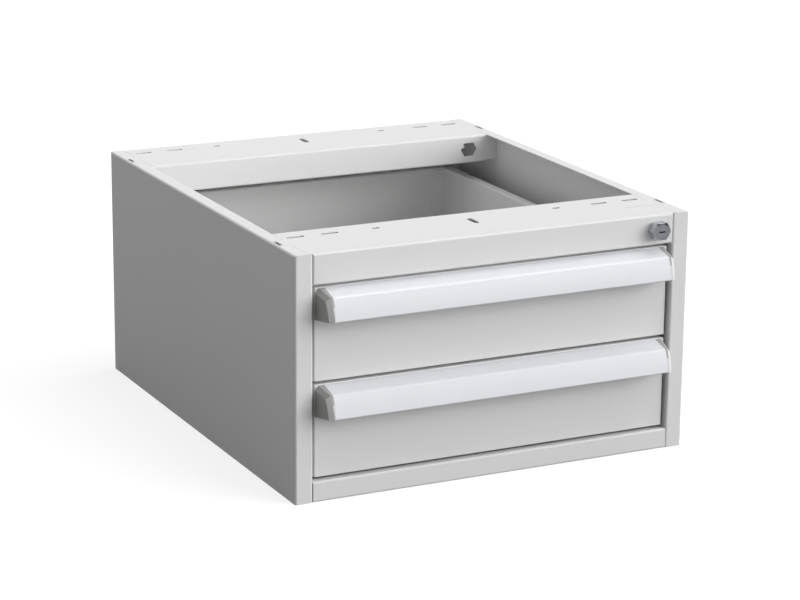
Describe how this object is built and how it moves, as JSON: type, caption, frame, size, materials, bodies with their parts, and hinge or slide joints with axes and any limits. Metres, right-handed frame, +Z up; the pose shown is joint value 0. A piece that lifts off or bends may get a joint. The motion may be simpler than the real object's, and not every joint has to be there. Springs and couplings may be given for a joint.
{
  "type": "under-bench drawer unit",
  "caption": "Light grey sheet-steel drawer unit that hangs under a workbench, with lockable drawers on telescopic slides, aluminium handles and slotted top rails.",
  "frame": {"origin": "middle of the whole unit in plan, handles and rivet heads included, at the level of its base", "axes": "+X to the user's right when facing the drawers, +Y from the drawer fronts to the back, +Z up"},
  "size_m": [0.49, 0.5874, 0.28],
  "materials": {
    "powder_coat": "fine satin powder coat, light grey",
    "anodised_aluminium": "satin silver anodised",
    "grey_plastic": "matte moulded, mid grey",
    "lock_metal": "nickel-plated zinc casting",
    "zinc_steel": "bright zinc plated",
    "nylon": "natural nylon"
  },
  "bodies": {
    "cabinet": {"left_side_panel": "powder_coat", "right_side_panel": "powder_coat", "front_top_rail": "powder_coat", "rear_top_rail": "powder_coat", "floor_panel": "powder_coat", "back_panel": "powder_coat", "back_rivets": "zinc_steel", "left_front_upright": "zinc_steel", "left_rear_upright": "zinc_steel", "right_front_upright": "zinc_steel", "right_rear_upright": "zinc_steel", "slide_screws": "zinc_steel", "lower_left_cabinet_slide": "zinc_steel", "lower_right_cabinet_slide": "zinc_steel", "upper_left_cabinet_slide": "zinc_steel", "upper_right_cabinet_slide": "zinc_steel", "lock_barrel": "lock_metal", "lock_nut": "lock_metal", "lower_bar_guide": "nylon", "upper_bar_guide": "nylon"},
    "lower_drawer": {"lower_drawer_front": "powder_coat", "lower_drawer_tray": "powder_coat", "lower_drawer_back": "powder_coat", "lower_handle": "anodised_aluminium", "lower_handle_left_cap": "grey_plastic", "lower_handle_right_cap": "grey_plastic", "lower_handle_screws": "zinc_steel", "lower_front_screws": "zinc_steel", "lower_left_drawer_slide": "zinc_steel", "lower_right_drawer_slide": "zinc_steel", "lower_tray_screws": "zinc_steel", "lower_inner_front": "powder_coat", "lower_lock_catch": "zinc_steel"},
    "lower_slide_middles": {"lower_left_middle_slide": "zinc_steel", "lower_right_middle_slide": "zinc_steel"},
    "lower_outer_cages": {"lower_outer_ball_cages": "zinc_steel"},
    "lower_inner_cages": {"lower_inner_ball_cages": "zinc_steel"},
    "upper_drawer": {"upper_drawer_front": "powder_coat", "upper_drawer_tray": "powder_coat", "upper_drawer_back": "powder_coat", "upper_handle": "anodised_aluminium", "upper_handle_left_cap": "grey_plastic", "upper_handle_right_cap": "grey_plastic", "upper_handle_screws": "zinc_steel", "upper_front_screws": "zinc_steel", "upper_left_drawer_slide": "zinc_steel", "upper_right_drawer_slide": "zinc_steel", "upper_tray_screws": "zinc_steel", "upper_inner_front": "powder_coat", "upper_lock_catch": "zinc_steel"},
    "upper_slide_middles": {"upper_left_middle_slide": "zinc_steel", "upper_right_middle_slide": "zinc_steel"},
    "upper_outer_cages": {"upper_outer_ball_cages": "zinc_steel"},
    "upper_inner_cages": {"upper_inner_ball_cages": "zinc_steel"},
    "lock_plug": {"lock_plug": "lock_metal", "lock_cam": "zinc_steel", "cam_screw": "zinc_steel"},
    "locking_bar": {"locking_bar": "zinc_steel"}
  },
  "joints": [
    {"name": "lower_drawer_slide", "type": "slide", "parent": "cabinet", "child": "lower_drawer", "axis": [0, -1, 0], "range_m": [0, 0.45]},
    {"name": "lower_middle_members", "type": "slide", "parent": "cabinet", "child": "lower_slide_middles", "axis": [0, -1, 0], "range_m": [0, 0.225]},
    {"name": "lower_outer_cage_travel", "type": "slide", "parent": "cabinet", "child": "lower_outer_cages", "axis": [0, -1, 0], "range_m": [0, 0.1125]},
    {"name": "lower_inner_cage_travel", "type": "slide", "parent": "cabinet", "child": "lower_inner_cages", "axis": [0, -1, 0], "range_m": [0, 0.3375]},
    {"name": "upper_drawer_slide", "type": "slide", "parent": "cabinet", "child": "upper_drawer", "axis": [0, -1, 0], "range_m": [0, 0.45]},
    {"name": "upper_middle_members", "type": "slide", "parent": "cabinet", "child": "upper_slide_middles", "axis": [0, -1, 0], "range_m": [0, 0.225]},
    {"name": "upper_outer_cage_travel", "type": "slide", "parent": "cabinet", "child": "upper_outer_cages", "axis": [0, -1, 0], "range_m": [0, 0.1125]},
    {"name": "upper_inner_cage_travel", "type": "slide", "parent": "cabinet", "child": "upper_inner_cages", "axis": [0, -1, 0], "range_m": [0, 0.3375]},
    {"name": "lock_plug_turn", "type": "hinge", "parent": "cabinet", "child": "lock_plug", "pos_m": [0.203, -0.26725, 0.2625], "axis": [0, -1, 0], "range_deg": [0, 90]},
    {"name": "locking_bar_lift", "type": "slide", "parent": "cabinet", "child": "locking_bar", "axis": [0, 0, 1], "range_m": [0, 0.01697]}
  ],
  "couplings": [
    {"joint": "lower_middle_members", "follows": "lower_drawer_slide", "ratio": 0.5},
    {"joint": "lower_outer_cage_travel", "follows": "lower_drawer_slide", "ratio": 0.25},
    {"joint": "lower_inner_cage_travel", "follows": "lower_drawer_slide", "ratio": 0.75},
    {"joint": "upper_middle_members", "follows": "upper_drawer_slide", "ratio": 0.5},
    {"joint": "upper_outer_cage_travel", "follows": "upper_drawer_slide", "ratio": 0.25},
    {"joint": "upper_inner_cage_travel", "follows": "upper_drawer_slide", "ratio": 0.75},
    {"joint": "lock_plug_turn", "follows": "locking_bar_lift", "rad_per_m": 92.55}
  ]
}
